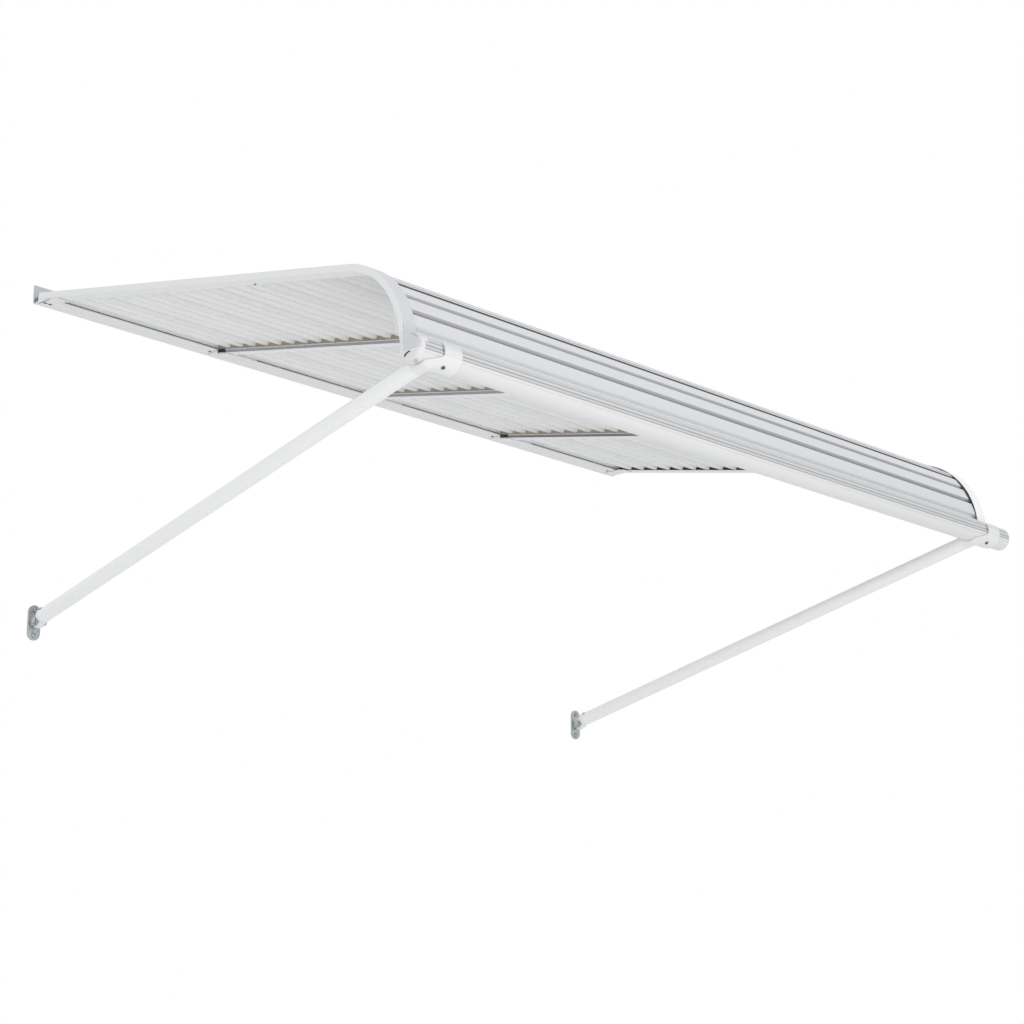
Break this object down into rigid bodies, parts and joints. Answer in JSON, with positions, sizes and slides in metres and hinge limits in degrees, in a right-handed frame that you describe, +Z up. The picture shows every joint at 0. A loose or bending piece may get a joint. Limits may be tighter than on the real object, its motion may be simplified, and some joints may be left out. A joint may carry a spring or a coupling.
{
  "type": "aluminum door canopy",
  "caption": "Ribbed aluminum door canopy: curved roof on rafters, hinged on a wall rail, with a round front bar and two round arms down to wall plates.",
  "frame": {"origin": "middle of the wall rail's flat back face, level with the hinge line", "axes": "+X right along the wall seen from outside, +Y into the wall, +Z up"},
  "size_m": [1.5673, 0.9895, 0.635],
  "materials": {
    "white_aluminium": "satin white baked paint",
    "rail_aluminium": "plain mill finish",
    "zinc_steel": "zinc plated",
    "black_foam": "black foam rubber"
  },
  "bodies": {
    "wall_rail": {"rail_screw_1": "zinc_steel", "rail_screw_2": "zinc_steel", "rail_screw_3": "zinc_steel", "rail_screw_4": "zinc_steel", "rail_screw_5": "zinc_steel", "wall_hinge_rail": "rail_aluminium"},
    "canopy": {"bar_cap_left": "white_aluminium", "bar_cap_right": "white_aluminium", "closure_strip_1": "black_foam", "closure_strip_2": "black_foam", "closure_strip_3": "black_foam", "end_rafter_left": "white_aluminium", "end_rafter_right": "white_aluminium", "foot_clip_1": "white_aluminium", "foot_clip_2": "white_aluminium", "foot_clip_3": "white_aluminium", "foot_collar_left": "white_aluminium", "foot_collar_left_screw": "zinc_steel", "foot_collar_right": "white_aluminium", "front_bar": "white_aluminium", "front_pan": "white_aluminium", "mid_rafter_1": "white_aluminium", "mid_rafter_2": "white_aluminium", "mid_rafter_3": "white_aluminium", "rear_clip_1": "white_aluminium", "rear_clip_2": "white_aluminium", "rear_clip_3": "white_aluminium", "rear_clip_4": "white_aluminium", "rear_clip_5": "white_aluminium", "rear_header": "white_aluminium", "roof_pan_1": "white_aluminium", "roof_pan_2": "white_aluminium", "roof_pan_3": "white_aluminium", "roof_pan_4": "white_aluminium", "roof_pan_5": "white_aluminium", "roof_pan_6": "white_aluminium"},
    "arm_left": {"arm_end_left": "white_aluminium", "arm_end_screw_left": "zinc_steel", "arm_hook_left": "white_aluminium", "arm_hook_left_screw": "zinc_steel", "arm_tube_left": "white_aluminium"},
    "arm_right": {"arm_end_right": "white_aluminium", "arm_end_screw_right": "zinc_steel", "arm_hook_right": "white_aluminium", "arm_hook_right_screw": "zinc_steel", "arm_tube_right": "white_aluminium"},
    "plate_left": {"pivot_bolt_left": "zinc_steel", "pivot_nut_left": "zinc_steel", "plate_screw_left_bottom": "zinc_steel", "plate_screw_left_top": "zinc_steel", "wall_plate_left": "zinc_steel"},
    "plate_right": {"pivot_bolt_right": "zinc_steel", "pivot_nut_right": "zinc_steel", "plate_screw_right_bottom": "zinc_steel", "plate_screw_right_top": "zinc_steel", "wall_plate_right": "zinc_steel"}
  },
  "joints": [
    {"name": "canopy_tilt", "type": "hinge", "parent": "wall_rail", "child": "canopy", "pos_m": [0, -0.0065, 0], "axis": [-1, 0, 0], "range_deg": [0, 45]},
    {"name": "arm_swing_left", "type": "hinge", "parent": "canopy", "child": "arm_left", "pos_m": [-0.733, -0.96524, -0.31433], "axis": [1, 0, 0], "range_deg": [0, 25]},
    {"name": "plate_swivel_left", "type": "hinge", "parent": "arm_left", "child": "plate_left", "pos_m": [-0.7278, -0.016, -0.5745], "axis": [1, 0, 0], "range_deg": [0, 35]},
    {"name": "arm_swing_right", "type": "hinge", "parent": "canopy", "child": "arm_right", "pos_m": [0.7005, -0.96524, -0.31433], "axis": [1, 0, 0], "range_deg": [0, 25]},
    {"name": "plate_swivel_right", "type": "hinge", "parent": "arm_right", "child": "plate_right", "pos_m": [0.6425, -0.016, -0.5745], "axis": [1, 0, 0], "range_deg": [0, 35]}
  ]
}
